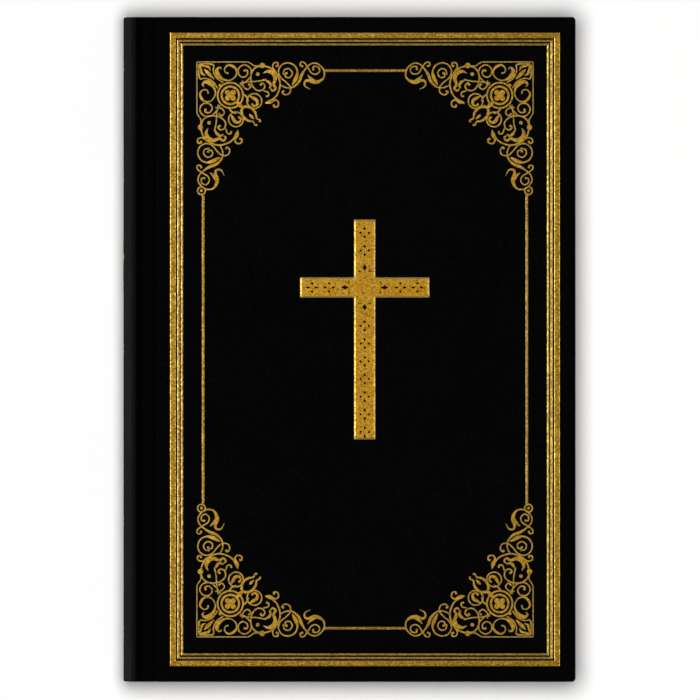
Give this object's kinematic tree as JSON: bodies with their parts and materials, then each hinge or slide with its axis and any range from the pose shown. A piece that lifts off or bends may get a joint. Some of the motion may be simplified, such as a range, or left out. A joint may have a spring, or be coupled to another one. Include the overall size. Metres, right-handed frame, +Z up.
{
  "type": "bible",
  "caption": "Black grained-leather bible with sewn, rounded text block: gold-foil cross, scrollwork corners and ruled frame on the front cover, gilt edges.",
  "frame": {"origin": "under the middle of the closed book, on the surface its back cover lies on", "axes": "+X from the spine to the fore-edge, +Y from the tail to the head, +Z up through the front cover"},
  "size_m": [0.16, 0.235, 0.0403],
  "materials": {
    "cover_leather": "black, fine pebbled grain, matt with a low sheen",
    "gold_foil": "hot-blocked gold foil, granular and satin",
    "board": "grey-brown binder's board",
    "endpaper": "smooth cream endpaper",
    "bible_paper": "thin opaque off-white paper with gilt edges",
    "mull_cloth": "open-weave cotton cloth",
    "lining_paper": "brown kraft paper",
    "glue": "dried flexible binding glue",
    "thread": "waxed linen thread",
    "band_cloth": "woven silk bands in two colours"
  },
  "bodies": {
    "text_block": {"spine_leather": "cover_leather", "front_joint_leather": "cover_leather", "back_joint_leather": "cover_leather", "spine_foil": "gold_foil", "spine_stiffener": "lining_paper", "spine_lining_paper": "lining_paper", "mull": "mull_cloth", "spine_glue": "glue", "sewing_thread": "thread", "head_band": "band_cloth", "tail_band": "band_cloth", "front_endpaper_fold": "endpaper", "back_endpaper_fold": "endpaper", "front_signature_folds": "bible_paper", "signature_05": "bible_paper", "signature_06": "bible_paper", "signature_07": "bible_paper", "signature_08": "bible_paper", "signature_09": "bible_paper", "signature_10": "bible_paper", "signature_11": "bible_paper", "signature_12": "bible_paper", "signature_13": "bible_paper", "signature_14": "bible_paper", "signature_15": "bible_paper", "signature_16": "bible_paper", "signature_17": "bible_paper", "signature_18": "bible_paper", "signature_19": "bible_paper", "signature_20": "bible_paper"},
    "front_cover": {"front_board": "board", "front_cover_leather": "cover_leather", "front_mull_flange": "mull_cloth", "front_pastedown": "endpaper", "frame_foil_outer": "gold_foil", "frame_foil_middle": "gold_foil", "frame_foil_inner": "gold_foil", "rule_foil": "gold_foil", "cross_foil": "gold_foil", "corner_foil_head_fore_edge": "gold_foil", "corner_foil_tail_fore_edge": "gold_foil", "corner_foil_head_spine": "gold_foil", "corner_foil_tail_spine": "gold_foil"},
    "back_cover": {"back_board": "board", "back_cover_leather": "cover_leather", "back_mull_flange": "mull_cloth", "back_pastedown": "endpaper"},
    "front_flyleaf": {"front_flyleaf": "endpaper"},
    "back_flyleaf": {"back_flyleaf": "endpaper"},
    "signature_1": {"signature_01": "bible_paper"},
    "signature_2": {"signature_02": "bible_paper"},
    "signature_3": {"signature_03": "bible_paper"},
    "signature_4": {"signature_04": "bible_paper"}
  },
  "joints": [
    {"name": "front_cover_hinge", "type": "hinge", "parent": "text_block", "child": "front_cover", "pos_m": [-0.0742, 0, 0.03685], "axis": [0, -1, 0], "range_deg": [0, 178], "deforming": ["front_joint_leather"]},
    {"name": "back_cover_hinge", "type": "hinge", "parent": "text_block", "child": "back_cover", "pos_m": [-0.0742, 0, 0.00335], "axis": [0, 1, 0], "range_deg": [0, 178], "deforming": ["back_joint_leather"]},
    {"name": "front_flyleaf_turn", "type": "hinge", "parent": "text_block", "child": "front_flyleaf", "pos_m": [-0.0733, 0, 0.03623], "axis": [0, -1, 0], "range_deg": [0, 165.54]},
    {"name": "back_flyleaf_turn", "type": "hinge", "parent": "text_block", "child": "back_flyleaf", "pos_m": [-0.0733, 0, 0.00398], "axis": [0, 1, 0], "range_deg": [0, 165.54]},
    {"name": "signature_1_turn", "type": "hinge", "parent": "text_block", "child": "signature_1", "pos_m": [-0.0726, 0, 0.0353], "axis": [0, -1, 0], "range_deg": [0, 153.08]},
    {"name": "signature_2_turn", "type": "hinge", "parent": "text_block", "child": "signature_2", "pos_m": [-0.072, 0, 0.0337], "axis": [0, -1, 0], "range_deg": [0, 137.06]},
    {"name": "signature_3_turn", "type": "hinge", "parent": "text_block", "child": "signature_3", "pos_m": [-0.0714, 0, 0.0321], "axis": [0, -1, 0], "range_deg": [0, 121.04]},
    {"name": "signature_4_turn", "type": "hinge", "parent": "text_block", "child": "signature_4", "pos_m": [-0.0708, 0, 0.0305], "axis": [0, -1, 0], "range_deg": [0, 103.24]}
  ],
  "couplings": [
    {"joint": "front_flyleaf_turn", "follows": "front_cover_hinge", "ratio": 0.93},
    {"joint": "back_flyleaf_turn", "follows": "back_cover_hinge", "ratio": 0.93},
    {"joint": "signature_1_turn", "follows": "front_cover_hinge", "ratio": 0.86},
    {"joint": "signature_2_turn", "follows": "front_cover_hinge", "ratio": 0.77},
    {"joint": "signature_3_turn", "follows": "front_cover_hinge", "ratio": 0.68},
    {"joint": "signature_4_turn", "follows": "front_cover_hinge", "ratio": 0.58}
  ]
}
